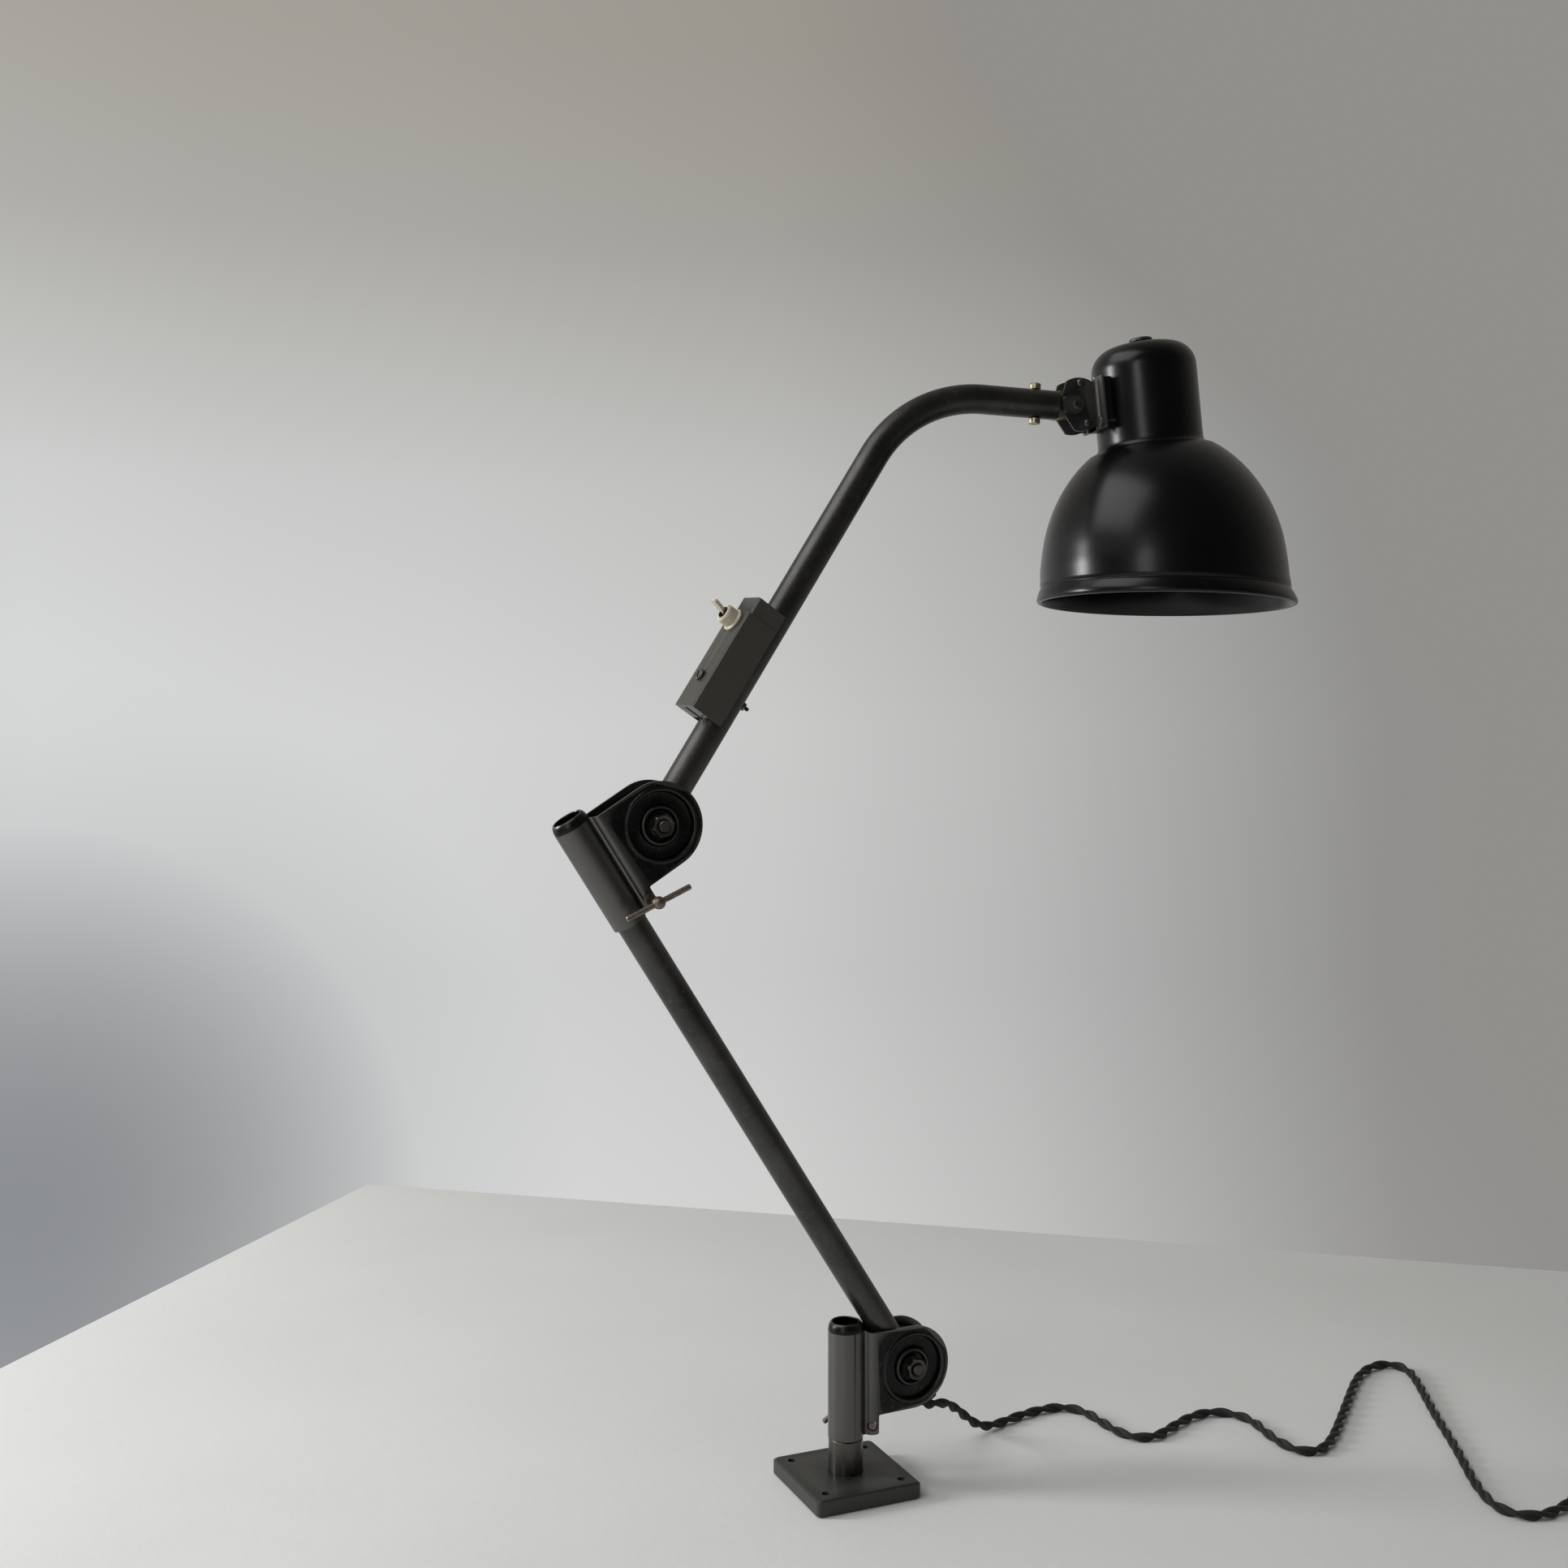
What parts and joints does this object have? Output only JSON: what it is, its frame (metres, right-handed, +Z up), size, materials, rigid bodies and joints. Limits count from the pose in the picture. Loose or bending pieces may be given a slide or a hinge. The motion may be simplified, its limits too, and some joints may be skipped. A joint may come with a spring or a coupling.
{
  "type": "architect desk lamp",
  "caption": "Workshop desk lamp: square base plate, tube arms in pressed clamp brackets with friction pivots, dark bell shade on a knuckle, box switch, cord and plug.",
  "frame": {"origin": "centre of the base plate's underside, on the surface that the lamp stands on", "axes": "+Z up along the post, +X along the plate's edge towards the side the shade reaches over, +Y to the back"},
  "size_m": [0.8321, 0.3582, 0.8309],
  "materials": {
    "base_plate_paint": "semi-gloss, worn",
    "post_steel": "turned, bright",
    "bracket_steel": "dark pressed sheet",
    "tube_steel": "burnished, dark",
    "fastener_steel": "dark",
    "clamp_steel": "brown with light rust",
    "hub_casting": "dark",
    "friction_fibre": "pressed fibre",
    "switch_box_paint": "satin black",
    "switch_cream": "aged cream",
    "brass_screw": "dull",
    "tongue_brass": "dull, olive",
    "knuckle_steel": "gloss black",
    "shade_bakelite": "polished black moulding",
    "black_bakelite": "black moulding",
    "bulb_glass": "frosted white",
    "bulb_cap_metal": "plain",
    "cord_textile": "black braided sleeve",
    "bush_rubber": "matt black",
    "plug_pin_brass": "bright"
  },
  "bodies": {
    "base": {"base_plate": "base_plate_paint", "base_post": "post_steel"},
    "lower_bracket": {"lower_bracket": "bracket_steel", "lower_pivot_bolt": "fastener_steel", "lower_pivot_nut": "fastener_steel", "lower_spring_washer": "fastener_steel", "lower_friction_disc_front": "friction_fibre", "lower_friction_disc_rear": "friction_fibre", "lower_clamp_nut": "fastener_steel", "cord_bush": "bush_rubber", "cord": "cord_textile", "cord_coil": "cord_textile", "cord_tail": "cord_textile", "plug_body": "black_bakelite", "plug_pin_a": "plug_pin_brass", "plug_pin_b": "plug_pin_brass"},
    "lower_clamp": {"lower_clamp_screw": "clamp_steel", "lower_clamp_bar": "clamp_steel"},
    "lower_arm": {"lower_hub": "hub_casting", "lower_tube": "tube_steel", "lower_tube_cap": "post_steel"},
    "upper_bracket": {"upper_bracket": "bracket_steel", "upper_pivot_bolt": "fastener_steel", "upper_pivot_nut": "fastener_steel", "upper_spring_washer": "fastener_steel", "upper_friction_disc_front": "friction_fibre", "upper_friction_disc_rear": "friction_fibre", "upper_clamp_nut": "fastener_steel"},
    "upper_clamp": {"upper_clamp_screw": "clamp_steel", "upper_clamp_bar": "clamp_steel"},
    "upper_arm": {"upper_hub": "hub_casting", "upper_tube": "tube_steel", "switch_saddle": "switch_box_paint", "switch_cover": "switch_box_paint", "switch_body": "black_bakelite", "switch_nut": "switch_cream", "switch_box_screw": "fastener_steel", "switch_box_nut": "fastener_steel", "knuckle_stem": "tongue_brass", "stem_screw_top": "brass_screw", "stem_screw_bottom": "brass_screw"},
    "switch_lever": {"switch_lever": "switch_cream"},
    "shade": {"knuckle_plate_front": "knuckle_steel", "knuckle_plate_rear": "knuckle_steel", "knuckle_pin": "fastener_steel", "knuckle_rivet_top": "fastener_steel", "knuckle_rivet_bottom": "fastener_steel", "neck_saddle": "black_bakelite", "saddle_screw_front": "fastener_steel", "saddle_screw_rear": "fastener_steel", "shade": "shade_bakelite", "shade_cap": "knuckle_steel", "lampholder": "black_bakelite", "bulb_cap": "bulb_cap_metal", "bulb_glass": "bulb_glass"}
  },
  "joints": [
    {"name": "base_swivel", "type": "hinge", "parent": "base", "child": "lower_bracket", "pos_m": [0, 0, 0.0812], "axis": [0, 0, 1], "range_deg": [-170, 170]},
    {"name": "lower_clamp_turn", "type": "hinge", "parent": "lower_bracket", "child": "lower_clamp", "pos_m": [0.01537, 0.00098, 0.0442], "axis": [-0.0638, 0.998, 0], "range_deg": [0, 270]},
    {"name": "lower_pivot", "type": "hinge", "parent": "lower_bracket", "child": "lower_arm", "pos_m": [0.04856, 0.00311, 0.0812], "axis": [-0.0638, 0.998, 0], "range_deg": [-1, 62]},
    {"name": "upper_swivel", "type": "hinge", "parent": "lower_arm", "child": "upper_bracket", "pos_m": [-0.18822, -0.01204, 0.44937], "axis": [-0.5406, -0.0346, 0.8406], "range_deg": [-150, 150]},
    {"name": "upper_clamp_turn", "type": "hinge", "parent": "upper_bracket", "child": "upper_clamp", "pos_m": [-0.15527, -0.01059, 0.4266], "axis": [0.0282, -0.9993, -0.023], "range_deg": [0, 270]},
    {"name": "upper_pivot", "type": "hinge", "parent": "upper_bracket", "child": "upper_arm", "pos_m": [-0.14731, -0.01149, 0.4757], "axis": [-0.0282, 0.9993, 0.023], "range_deg": [-95, 60]},
    {"name": "switch_toggle", "type": "hinge", "parent": "upper_arm", "child": "switch_lever", "pos_m": [-0.09714, -0.01621, 0.6167], "axis": [-0.1017, 0.9924, 0.0694], "range_deg": [-22, 0]},
    {"name": "shade_tilt", "type": "hinge", "parent": "upper_arm", "child": "shade", "pos_m": [0.16692, -0.03048, 0.77634], "axis": [0.1409, 0.99, 0], "range_deg": [-17, 25]}
  ]
}
